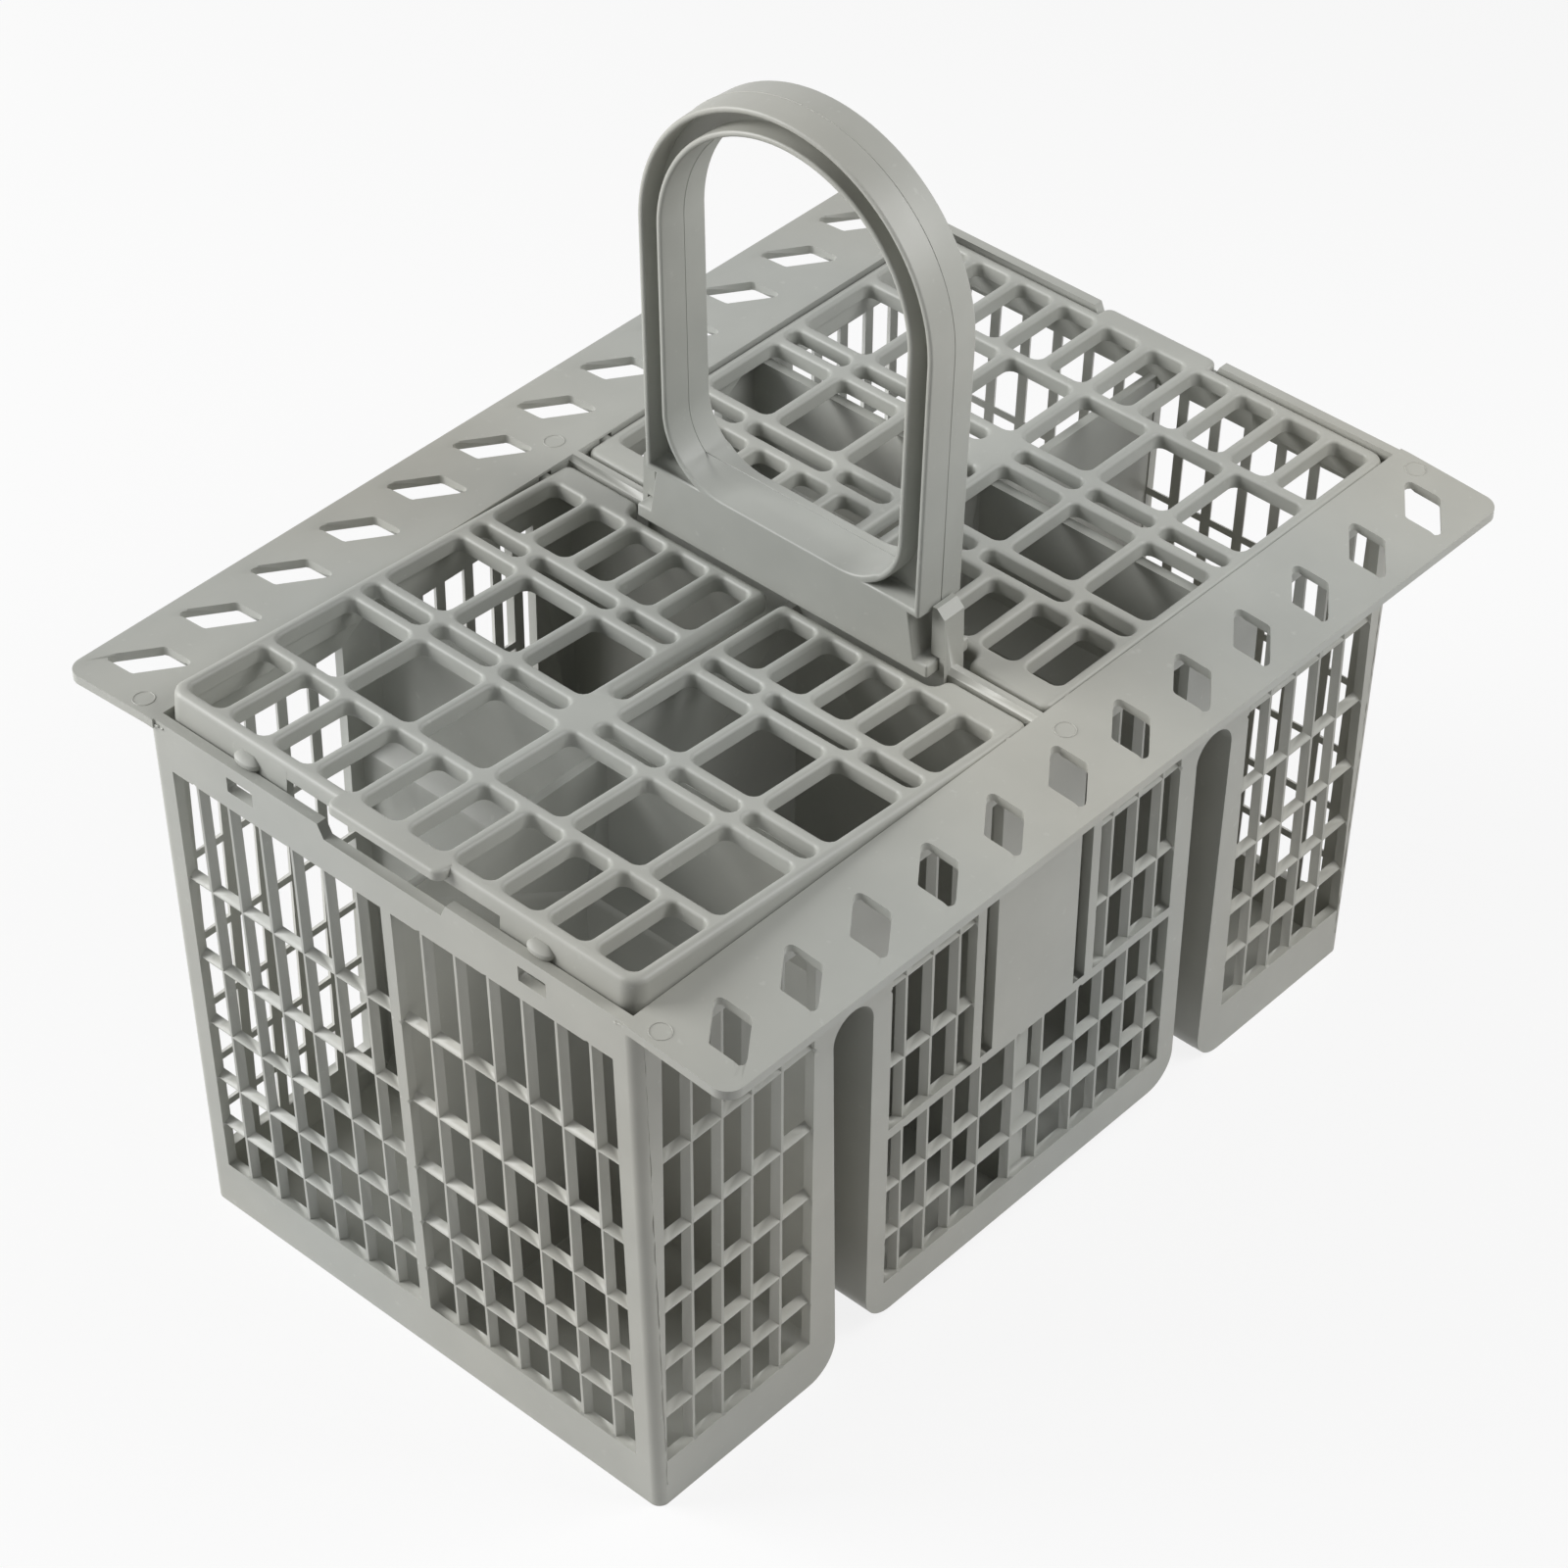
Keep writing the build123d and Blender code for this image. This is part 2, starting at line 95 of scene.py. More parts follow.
class BasketBays(bpy.types.PropertyGroup):
    """Lattice walls and the corners inside the bays."""

    slim: length("Slim rails", "How far the rails' slopes are lowered on the inside", 0.8)
    ridge_top: length("Ridge top", "How far below the rim the lattice ends", 5.0)
    end_wall: length("End wall", "Distance from the middle past which a place is in an end wall", 108.0)
    inside: length("Inside", "Distance of the side walls' inner faces from the middle", 64.1)
    spine: length("Spine", "Half the thickness of the spine", 1.1)
    end_corner: length("End corner", "Distance of the end bays' channel walls from the middle", 62.96)
    end_floor: length("End floor", "Height of the end bays' floors", 2.2)
    middle_corner: length("Middle corner", "Distance of the middle bay's channel walls from the middle", 49.5)
    middle_floor: length("Middle floor", "Height of the middle bay's floor", 6.2)
    fillet: length("Fillet", "Radius between a bay's floor and the channel wall", 6.0)
    sunk: length("Sunk", "How far a fillet reaches into the walls beside it", 0.3)
    foot: length("Foot", "Distance of a fillet's hidden edges from the corner", 1.0)


class BasketLids(bpy.types.PropertyGroup):
    """Sizes of the lids."""

    thickness: length("Thickness", "Depth of the plate and its bars", 4.0)
    skirt: length("Skirt", "Thickness of the skirt round the outer end", 1.8)
    tab: length("Tab", "Thickness of the finger tab", 2.4)
    pin: length("Pin", "Radius of the hinge pins", 1.7)


class BasketMarks(bpy.types.PropertyGroup):
    """Marks that the mould leaves."""

    ring: length("Pin mark", "Radius of the ring that an ejector pin leaves", 2.25)
    ring_line: length("Pin mark line", "Thickness of that ring's raised line", 0.15)
    seam: length("Mould seam", "Thickness of the raised line where the mould halves meet", 0.12)
    flash: length("Flash", "Thickness of the ragged plastic squeezed out at a corner", 0.3)
    stray: length("Stray", "How far a mould seam wanders", 0.12)
    ring_across: length("Pin mark place", "Distance of the rings from the middle", 70.4)
    ring_along: length("Pin mark ends", "Distance of the end rings from the middle", 116.5)
    foot: length("Foot", "Distance of the end walls' outer faces from the middle, at the foot", 114.5)
    mouth: length("Mouth", "Distance of the end walls' outer faces from the middle, at the rim", 119.5)
    seam_inset: length("Seam place", "Distance of a corner seam from the end wall", 2.5)
    seam_foot: length("Seam foot", "Height at which a corner seam starts", 6.0)
    seam_head: length("Seam head", "How far below the rim a corner seam ends", 3.0)
    draft: length("Handle draft", "How far the handle's rims fall away from the seam", 0.3)


class BasketFinish(bpy.types.PropertyGroup):
    """Colour and sheen of the plastic."""

    colour: FloatVectorProperty(
        name="Plastic", description="Colour of the plastic",
        default=(0.425, 0.436, 0.408), size=3, subtype="COLOR"
    )
    roughness: FloatProperty(name="Roughness", description="Sheen of the plastic", default=0.42, min=0, max=1)
    warm: FloatVectorProperty(
        name="Warm cast", description="Colour of the plastic where it has yellowed a little",
        default=(0.445, 0.44, 0.395), size=3, subtype="COLOR"
    )
    variation: FloatProperty(
        name="Variation", description="How far the tone wanders", default=0.04, subtype="FACTOR", min=0, max=1
    )
    scuffs: FloatProperty(
        name="Scuffs", description="Strength of the pale scuffs", default=0.25, subtype="FACTOR", min=0, max=1
    )


class BasketStage(bpy.types.PropertyGroup):
    """Camera and light."""

    camera_place: FloatVectorProperty(
        name="Camera", description="Place of the camera",
        default=(0.4908, -0.5544, 0.7217), size=3, unit="LENGTH"
    )
    azimuth: FloatProperty(
        name="Azimuth", description="Turn of the view", default=math.radians(41.74), unit="ROTATION"
    )
    elevation: FloatProperty(
        name="Elevation", description="Height of the view", default=math.radians(40.76), unit="ROTATION"
    )
    roll: FloatProperty(
        name="Roll", description="Tilt of the picture", default=math.radians(0.56), unit="ROTATION"
    )
    lens: FloatProperty(name="Lens", description="Focal length in millimetres", default=105.4)
    aim: FloatVectorProperty(
        name="Aim", description="Place that the lights point at", default=(0, 0, 0.09), size=3, unit="LENGTH"
    )
    key_place: FloatVectorProperty(
        name="Key place", description="Place of the key light",
        default=(-0.95, -0.75, 0.66), size=3, unit="LENGTH"
    )
    key_size: length("Key size", "Width of the key light", 800.0)
    key_watts: FloatProperty(
        name="Key light", description="Power of the key light", default=19.0, unit="POWER"
    )
    side_place: FloatVectorProperty(
        name="Side place", description="Place of the side light",
        default=(0.38, 0.22, 0.52), size=3, unit="LENGTH"
    )
    side_size: length("Side size", "Width of the side light", 350.0)
    side_watts: FloatProperty(
        name="Side light", description="Power of the side light", default=2.2, unit="POWER"
    )
    fill: FloatProperty(name="Fill", description="Level of the light from all round", default=0.11)


class BasketSettings(bpy.types.PropertyGroup):
    """All settings of the basket."""

    edges: PointerProperty(type=BasketEdges)
    wings: PointerProperty(type=BasketWings)
    bays: PointerProperty(type=BasketBays)
    lids: PointerProperty(type=BasketLids)
    marks: PointerProperty(type=BasketMarks)
    finish: PointerProperty(type=BasketFinish)
    stage: PointerProperty(type=BasketStage)


def settings():
    """Return the scene's basket settings."""
    return bpy.context.scene.cutlery_basket


def plastic(name):
    """Return the grey moulded plastic, made once, with a wandering tone, a fine grain and an uneven sheen."""
    found = bpy.data.materials.get(name)
    if found:
        return found
    finish = settings().finish
    material = bpy.data.materials.new(name)
    material.use_nodes = True
    nodes = material.node_tree.nodes
    links = material.node_tree.links
    shader = nodes["Principled BSDF"]
    shader.inputs["IOR"].default_value = 1.49
    place = nodes.new("ShaderNodeTexCoord")

    def noise(scale, detail):
        node = nodes.new("ShaderNodeTexNoise")
        node.inputs["Scale"].default_value = scale
        node.inputs["Detail"].default_value = detail
        links.new(place.outputs["Object"], node.inputs["Vector"])
        return node

    def blend(mode, factor, first, second):
        mix = nodes.new("ShaderNodeMix")
        mix.data_type = "RGBA"
        mix.blend_type = mode
        for socket, value in (("Factor", factor), ("A", first), ("B", second)):
            if isinstance(value, bpy.types.NodeSocket):
                links.new(value, mix.inputs[socket])
            else:
                mix.inputs[socket].default_value = value
        return mix.outputs["Result"]

    def ramp(source, low, high, start, stop):
        spread = nodes.new("ShaderNodeMapRange")
        for socket, value in (("From Min", low), ("From Max", high), ("To Min", start), ("To Max", stop)):
            spread.inputs[socket].default_value = value
        links.new(source, spread.inputs["Value"])
        return spread.outputs["Result"]

    colour = Vector(finish.colour)
    warm = Vector(finish.warm)
    cast = ramp(noise(9.0, 1.0).outputs["Fac"], 0.35, 0.65, 0.0, 1.0)
    base = blend("MIX", cast, (*colour, 1), (*warm, 1))
    cloud = noise(60.0, 4.0)
    level = ramp(cloud.outputs["Fac"], 0.3, 0.7, 1 - finish.variation, 1 + finish.variation)
    toned = blend("MULTIPLY", 1.0, base, level)
    scuff = noise(420.0, 6.0)
    scuffed = ramp(scuff.outputs["Fac"], 0.66, 0.76, 0.0, finish.scuffs)
    worn = blend("MIX", scuffed, toned, (*(colour * 1.5), 1))
    links.new(worn, shader.inputs["Base Color"])

    sheen = noise(160.0, 4.0)
    spread = ramp(sheen.outputs["Fac"], 0.0, 1.0, finish.roughness - 0.07, finish.roughness + 0.07)
    links.new(spread, shader.inputs["Roughness"])

    grain = noise(2600.0, 2.0)
    bump = nodes.new("ShaderNodeBump")
    bump.inputs["Strength"].default_value = 0.12
    bump.inputs["Distance"].default_value = 0.05 * MM
    links.new(grain.outputs["Fac"], bump.inputs["Height"])
    links.new(bump.outputs["Normal"], shader.inputs["Normal"])
    return material


def moulding(solid):
    """Return an edit mesh of a solid, its loose triangles merged and its inward corners kept sharp."""
    shape = bmesh.new()
    shape.from_mesh(frame["nodes"][solid].data)
    bmesh.ops.remove_doubles(shape, verts=shape.verts, dist=0.001 * MM)
    for edge in shape.edges:
        edge.smooth = edge.is_convex or turn(edge) < math.radians(25)
    return shape


def turn(edge):
    """Return the angle by which an edge turns the surface."""
    return edge.calc_face_angle(0.0)


def round_corners(shape, edges, radius, steps):
    """Round the corners of openings to one radius, whatever their angles."""
    groups = {}
    for edge in edges:
        groups.setdefault(round(radius * math.tan(turn(edge) / 2), 5), []).append(edge)
    for reach, group in groups.items():
        bmesh.ops.bevel(
            shape, geom=group, offset=reach, offset_type="OFFSET", affect="EDGES", segments=steps, profile=0.5
        )


def soften(shape, width, steps, limit=25.0, crisp=()):
    """Round the outward edges that turn by more than a limit in degrees, apart from the crisp ones."""
    edges = [
        edge for edge in shape.edges
        if len(edge.link_faces) == 2 and edge.is_convex and turn(edge) > math.radians(limit)
        and edge not in crisp
    ]
    bmesh.ops.bevel(
        shape, geom=edges, offset=width, offset_type="OFFSET", affect="EDGES", segments=steps, profile=0.5,
        clamp_overlap=True,
    )


def piece(name, mesh, body, slot, *replaced):
    """Link a finished mesh as a piece that rides on a body and may stand for CAD nodes."""
    made = bpy.data.objects.new(name, mesh)
    bpy.context.scene.collection.objects.link(made)
    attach(made, body)
    if replaced:
        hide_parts(*replaced)
    return made


def finished(shape, name):
    """Turn an edit mesh into a smooth-shaded mesh of plastic."""
    mesh = bpy.data.meshes.new(name)
    shape.to_mesh(mesh)
    shape.free()
    mesh.shade_smooth()
    mesh.materials.append(plastic("grey_plastic"))
    return mesh


def weigh_normals(made):
    """Keep the flat faces of a softened piece looking flat."""
    normals = made.modifiers.new("Flat faces", "WEIGHTED_NORMAL")
    normals.keep_sharp = True
    return made


def node(group, kind, inputs=None, **settings):
    """Add a node to a tree, with its settings, and with values or other nodes' outputs on its inputs."""
    made = group.nodes.new(kind)
    for name, value in settings.items():
        setattr(made, name, value)
    for socket, value in (inputs or {}).items():
        if isinstance(value, bpy.types.NodeSocket):
            group.links.new(value, made.inputs[socket])
        else:
            made.inputs[socket].default_value = value
    return made


def new_tree(name, lengths, counts=()):
    """Return a new geometry tree with named inputs, and the outputs of its input node."""
    group = bpy.data.node_groups.new(name, "GeometryNodeTree")
    sockets = [("Geometry", "NodeSocketGeometry"), ("Material", "NodeSocketMaterial")]
    sockets += [(label, "NodeSocketFloat") for label in lengths]
    sockets += [(label, "NodeSocketInt") for label in counts]
    for label, kind in sockets:
        group.interface.new_socket(label, in_out="INPUT", socket_type=kind)
    group.interface.new_socket("Geometry", in_out="OUTPUT", socket_type="NodeSocketGeometry")
    return group, node(group, "NodeGroupInput").outputs


def end_tree(group, geometry, material):
    """End a tree with real, smooth geometry in its material."""
    real = node(group, "GeometryNodeRealizeInstances", {"Geometry": geometry})
    smooth = node(group, "GeometryNodeSetShadeSmooth", {"Geometry": real.outputs[0]})
    dressed = node(group, "GeometryNodeSetMaterial", {"Geometry": smooth.outputs[0], "Material": material})
    node(group, "NodeGroupOutput", {"Geometry": dressed.outputs[0]})


def grown(name, group, outlines, **values):
    """Return the plain mesh that a tree grows from outlines, each a run of points with radii."""
    drawn = bpy.data.curves.new(name, "CURVE")
    drawn.dimensions = "3D"
    for points, radii, closed in outlines:
        spline = drawn.splines.new("POLY")
        spline.points.add(len(points) - 1)
        for target, point, radius in zip(spline.points, points, radii):
            target.co = (*point, 1)
            target.radius = radius
        spline.use_cyclic_u = closed
    holder = bpy.data.objects.new(name, drawn)
    bpy.context.scene.collection.objects.link(holder)
    grow = holder.modifiers.new(name, "NODES")
    grow.node_group = group
    for socket in group.interface.items_tree:
        if socket.in_out == "INPUT" and socket.name.replace(" ", "_").lower() in values:
            grow[socket.identifier] = values[socket.name.replace(" ", "_").lower()]
    graph = bpy.context.evaluated_depsgraph_get()
    mesh = bpy.data.meshes.new_from_object(holder.evaluated_get(graph))
    bpy.data.objects.remove(holder)
    bpy.data.curves.remove(drawn)
    return mesh


def rim_section(group, edge, under, thickness, steps):
    """Return the section of a plate's rim: out along its rounded top, down its side and in underneath."""
    corners = node(group, "GeometryNodeIndexSwitch", data_type="VECTOR")
    radii = node(group, "GeometryNodeIndexSwitch", data_type="FLOAT")
    index = node(group, "GeometryNodeInputIndex").outputs["Index"]
    for switch in (corners, radii):
        switch.index_switch_items.new()
        switch.index_switch_items.new()
        group.links.new(index, switch.inputs["Index"])
    back = [
        node(group, "ShaderNodeMath", {0: reach, 1: -1.0}, operation="MULTIPLY").outputs["Value"]
        for reach in (edge, under)
    ]
    for number, place in enumerate(({"X": back[0]}, {}, {"Y": thickness}, {"X": back[1], "Y": thickness})):
        corner = node(group, "ShaderNodeCombineXYZ", place)
        group.links.new(corner.outputs["Vector"], corners.inputs[str(number)])
    group.links.new(edge, radii.inputs["1"])
    group.links.new(under, radii.inputs["2"])
    line = node(group, "GeometryNodeMeshLine", {"Count": 4})
    bent = node(
        group, "GeometryNodeSetPosition", {"Geometry": line.outputs[0], "Position": corners.outputs[0]}
    )
    curve = node(group, "GeometryNodeMeshToCurve", {"Mesh": bent.outputs[0]})
    return node(
        group, "GeometryNodeFilletCurve",
        {"Curve": curve.outputs[0], "Radius": radii.outputs[0], "Count": steps}, mode="POLY",
    ).outputs[0]


def plate_tree():
    """Return the tree of a moulded plate, whose first outline is its edge and the others its openings."""
    group, given = new_tree(
        "moulded_plate", ("Height", "Thickness", "Edge", "Opening edge", "Under edge"),
        ("Steps", "Corner steps"),
    )
    index = node(group, "GeometryNodeInputIndex").outputs["Index"]
    opening = node(
        group, "FunctionNodeCompare", {2: index, 3: 0}, data_type="INT", operation="GREATER_THAN"
    ).outputs["Result"]
    rounding = node(
        group, "GeometryNodeSwitch",
        {"Switch": opening, "False": given["Edge"], "True": given["Opening edge"]}, input_type="FLOAT",
    )
    named = node(
        group, "GeometryNodeStoreNamedAttribute",
        {"Geometry": given["Geometry"], "Name": "rounding", "Value": rounding.outputs[0]},
        data_type="FLOAT", domain="CURVE",
    )
    radius = node(group, "GeometryNodeInputRadius").outputs["Radius"]
    filleted = node(
        group, "GeometryNodeFilletCurve",
        {"Curve": named.outputs[0], "Radius": radius, "Count": given["Corner steps"], "Limit Radius": True},
        mode="POLY",
    )
    level = node(group, "GeometryNodeSetCurveNormal", {"Curve": filleted.outputs[0]}, mode="Z_UP").outputs[0]
    parted = node(
        group, "GeometryNodeSeparateGeometry", {"Geometry": level, "Selection": opening}, domain="CURVE"
    ).outputs
    pieces = []
    for loops, edge in ((parted["Inverted"], given["Edge"]), (parted["Selection"], given["Opening edge"])):
        section = rim_section(group, edge, given["Under edge"], given["Thickness"], given["Steps"])
        swept = node(group, "GeometryNodeCurveToMesh", {"Curve": loops, "Profile Curve": section})
        pieces.append(swept.outputs[0])

    outward = node(group, "GeometryNodeInputNormal").outputs["Normal"]
    stored = node(group, "GeometryNodeInputNamedAttribute", {"Name": "rounding"}, data_type="FLOAT")
    for reach, flip in ((stored.outputs[0], False), (given["Under edge"], True)):
        inset = node(group, "ShaderNodeVectorMath", {"Vector": outward, "Scale": reach}, operation="SCALE")
        inward = node(
            group, "ShaderNodeVectorMath", {"Vector": inset.outputs[0], "Scale": -1.0}, operation="SCALE"
        )
        moved = node(group, "GeometryNodeSetPosition", {"Geometry": level, "Offset": inward.outputs[0]})
        cap = node(group, "GeometryNodeFillCurve", {"Curve": moved.outputs[0]}, mode="TRIANGLES").outputs[0]
        if flip:
            turned = node(group, "GeometryNodeFlipFaces", {"Mesh": cap}).outputs[0]
            minus = node(group, "ShaderNodeMath", {0: given["Thickness"], 1: -1.0}, operation="MULTIPLY")
            drop = node(group, "ShaderNodeCombineXYZ", {"Z": minus.outputs[0]}).outputs[0]
            cap = node(group, "GeometryNodeTransform", {"Geometry": turned, "Translation": drop}).outputs[0]
        pieces.append(cap)
    joined = node(group, "GeometryNodeJoinGeometry")
    for made in pieces:
        group.links.new(made, joined.inputs[0])
    welded = node(
        group, "GeometryNodeMergeByDistance", {"Geometry": joined.outputs[0], "Distance": 0.002 * MM}
    )
    lift = node(group, "ShaderNodeCombineXYZ", {"Z": given["Height"]}).outputs[0]
    placed = node(group, "GeometryNodeTransform", {"Geometry": welded.outputs[0], "Translation": lift})
    end_tree(group, placed.outputs[0], given["Material"])
    return group


def lattice_top():
    """Return the height at which the lattice of the walls ends."""
    return settings().wings.rim - settings().bays.ridge_top


def facing(place):
    """Return the outward direction of the wall at a place, or nothing inside the body."""
    bays = settings().bays
    if abs(place.x) > bays.inside - 0.1 * MM:
        return Vector((math.copysign(1, place.x), 0, 0))
    if abs(place.y) > bays.end_wall:
        return Vector((0, math.copysign(1, place.y), 0))
    return None


def is_ridge(edge):
    """Tell whether an edge is the ridge of a lattice bar, which stands out between two sloping faces."""
    shortest = 0.5 * MM
    if len(edge.link_faces) != 2 or not edge.is_convex or turn(edge) < math.radians(80):
        return False
    middle = (edge.verts[0].co + edge.verts[1].co) / 2
    outward = facing(middle)
    if outward is None or middle.z > lattice_top() or edge.calc_length() < shortest:
        return False
    slopes = [face.normal.dot(outward) for face in edge.link_faces]
    return max(slopes) < 0.9 and min(slopes) > -0.1 and sum(slopes) > 0.5


def slim_rails(shape):
    """Lower the inner edges of the rails' sloping tops."""
    lowered = set()
    for face in shape.faces:
        middle = face.calc_center_median()
        outward = facing(middle)
        if outward is None or middle.z > lattice_top():
            continue
        if 0.3 < face.normal.z < 0.95 and 0.3 < face.normal.dot(outward) < 0.95:
            lowered.update(corner for corner in face.verts if corner.co.z > middle.z + 0.2 * MM)
    for corner in lowered:
        corner.co.z -= settings().bays.slim


def wing_height(across):
    """Return the height of a wing's top at a distance from the middle."""
    wings = settings().wings
    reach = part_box("basket_body")[1][0] - wings.wall
    return wings.rim - wings.droop / reach * (abs(across) - wings.wall)


def round_cutouts(shape):
    """Round the corners of the wings' cut-outs."""
    wings = settings().wings
    edges = settings().edges
    corners = [
        edge for edge in shape.edges
        if abs(edge.verts[0].co.x) > wings.wall + 0.5 * MM and not edge.is_convex and turn(edge) > 0.4
        and (edge.verts[0].co - edge.verts[1].co).xy.length < 0.01 * MM
    ]
    round_corners(shape, corners, edges.cutout, edges.corner_steps)


def bay_fillets():
    """Return the rounded corners inside the bays, from the floors up to the channel walls."""
    bays = settings().bays
    radius = bays.fillet
    sunk = bays.sunk
    start = bays.foot
    steps = 2 * settings().edges.corner_steps
    bow = [
        (radius - radius * math.cos(angle), radius - radius * math.sin(angle))
        for angle in (math.pi / 2 * step / steps for step in range(steps + 1))
    ]
    section = [(-sunk, start), (-sunk, radius), *bow, (radius, -sunk), (start, -sunk)]
    shape = bmesh.new()
    for end in (-1, 1):
        for inward, wall, floor in (
            (1, bays.end_corner, bays.end_floor), (-1, bays.middle_corner, bays.middle_floor)
        ):
            for hand in (-1, 1):
                near, far = (
                    [
                        shape.verts.new((hand * across, end * (wall + inward * along), floor + up))
                        for along, up in section
                    ]
                    for across in (bays.spine - sunk, bays.inside + sunk)
                )
                for place in range(len(section)):
                    after = (place + 1) % len(section)
                    shape.faces.new((near[place], near[after], far[after], far[place]))
                shape.faces.new(near)
                shape.faces.new(far)
    bmesh.ops.recalc_face_normals(shape, faces=shape.faces)
    for edge in shape.edges:
        edge.smooth = turn(edge) < math.radians(25)
    return finished(shape, "bay_fillets")


class BASKET_OT_body(bpy.types.Operator):
    """Rounds the basket body and its cut-outs, slims its rails and flattens the ridges of its bars"""

    bl_idname = "basket.body"
    bl_label = "Basket body"

    def execute(self, context):
        edges = settings().edges
        shape = moulding("basket_body")
        round_cutouts(shape)
        slim_rails(shape)
        ridges = [edge for edge in shape.edges if is_ridge(edge)]
        flats = bmesh.ops.bevel(
            shape, geom=ridges, offset=edges.bar, offset_type="OFFSET", affect="EDGES", segments=1,
            profile=0.5, clamp_overlap=True,
        )["faces"]
        crisp = {edge for face in flats for edge in face.edges if turn(edge) > math.radians(20)}
        for edge in crisp:
            edge.smooth = False
        soften(shape, edges.body, edges.steps, crisp=crisp)
        mesh = finished(shape, "basket_moulding")
        weigh_normals(piece("basket_moulding", mesh, "basket", "basket_plastic", "basket_body"))
        piece("bay_fillets", bay_fillets(), "basket", "basket_plastic")
        return {"FINISHED"}


def flat_top(node_name):
    """Return the closed outlines of a solid's flat top: its edge anticlockwise, its openings clockwise."""
    shape = moulding(node_name)
    top = max(corner.co.z for corner in shape.verts)
    faces = {
        face for face in shape.faces
        if face.normal.z > 0.999 and abs(face.calc_center_median().z - top) < 0.01 * MM
    }
    following = {}
    for face in faces:
        for loop in face.loops:
            if loop.link_loop_radial_next.face not in faces:
                following[loop.vert] = loop.link_loop_next.vert
    outlines = []
    while following:
        corner, after = following.popitem()
        run = [corner.co.to_2d()]
        while after in following:
            run.append(after.co.to_2d())
            after = following.pop(after)
        outlines.append(straightened(run))
    shape.free()
    return sorted(outlines, key=span, reverse=True), top


def span(outline):
    """Return how far an outline reaches along the basket."""
    return max(point.y for point in outline) - min(point.y for point in outline)


def bend(before, point, after):
    """Return the angle by which an outline turns at a point."""
    return (point - before).angle_signed(after - point, 0.0)


def straightened(run):
    """Return an outline without the points in the middle of its straight runs."""
    return [
        point for before, point, after in zip(run[-1:] + run[:-1], run, run[1:] + run[:1])
        if abs(bend(before, point, after)) > math.radians(0.5)
    ]


def cornered(run, radius):
    """Return an outline as points in space, with a radius at each sharp corner."""
    radii = [
        radius if abs(bend(before, point, after)) > math.radians(60) else 0.0
        for before, point, after in zip(run[-1:] + run[:-1], run, run[1:] + run[:1])
    ]
    return [point.to_3d() for point in run], radii, True


def join_meshes(name, meshes):
    """Return one mesh of several closed shells, each with its faces turned outward."""
    shape = bmesh.new()
    for mesh in meshes:
        shape.from_mesh(mesh)
        bpy.data.meshes.remove(mesh)
    bmesh.ops.recalc_face_normals(shape, faces=shape.faces)
    return finished(shape, name)


def band_tree():
    """Return the tree of an upright band that hangs from its path, with its outer face on the path."""
    group, given = new_tree("upright_band", ("Depth", "Width", "Edge"), ("Steps",))
    section = node(
        group, "GeometryNodeCurvePrimitiveQuadrilateral", {"Width": given["Width"], "Height": given["Depth"]}
    )
    inward = node(group, "ShaderNodeMath", {0: given["Width"], 1: -0.5}, operation="MULTIPLY")
    downward = node(group, "ShaderNodeMath", {0: given["Depth"], 1: 0.5}, operation="MULTIPLY")
    shift = node(group, "ShaderNodeCombineXYZ", {"X": inward.outputs[0], "Y": downward.outputs[0]})
    hung = node(
        group, "GeometryNodeTransform", {"Geometry": section.outputs[0], "Translation": shift.outputs[0]}
    )
    rounded = node(
        group, "GeometryNodeFilletCurve",
        {"Curve": hung.outputs[0], "Radius": given["Edge"], "Count": given["Steps"]}, mode="POLY",
    )
    level = node(group, "GeometryNodeSetCurveNormal", {"Curve": given["Geometry"]}, mode="Z_UP")
    swept = node(
        group, "GeometryNodeCurveToMesh",
        {"Curve": level.outputs[0], "Profile Curve": rounded.outputs[0], "Fill Caps": True},
    )
    end_tree(group, swept.outputs[0], given["Material"])
    return group


def snap_peg(name, low, high, root):
    """Return a snap peg between two corners: a half-round foot, an upright nose and a sloping top."""
    middle = (low[0] + high[0]) / 2
    half = (high[0] - low[0]) / 2
    tall = high[2] - low[2]
    facets = 14
    shape = bmesh.new()
    rings = []
    for level, share in ((0.0, 0.66), (0.1, 0.86), (0.22, 0.96), (0.34, 1.0), (0.52, 1.0), (1.0, 0.12)):
        ring = [
            (
                middle + half * (0.5 + share / 2) * math.cos(math.pi * facet / facets),
                root + (high[1] - root) * share * math.sin(math.pi * facet / facets) ** 0.8,
                low[2] + tall * level,
            )
            for facet in range(facets + 1)
        ]
        ring += [(ring[-1][0], low[1], ring[-1][2]), (ring[0][0], low[1], ring[0][2])]
        rings.append([shape.verts.new(point) for point in ring])
    for lower, upper in zip(rings, rings[1:]):
        for place in range(len(lower)):
            after = (place + 1) % len(lower)
            shape.faces.new((lower[place], lower[after], upper[after], upper[place]))
    shape.faces.new(rings[0])
    shape.faces.new(rings[-1])
    for nose in rings[-2]:
        for edge in nose.link_edges:
            edge.smooth = edge.other_vert(nose) not in rings[-2]
    return finished(shape, name)


def hinge_pin(name, start, stop, radius, place):
    """Return a round hinge pin along the basket's width, with a softened end."""
    shape = bmesh.new()
    bmesh.ops.create_cone(
        shape, cap_ends=True, segments=28, radius1=radius, radius2=radius, depth=abs(stop - start),
        matrix=Matrix.Translation(((start + stop) / 2, *place)) @ Matrix.Rotation(math.pi / 2, 4, "Y"),
    )
    soften(shape, 0.25 * MM, 2, 60)
    return finished(shape, name)


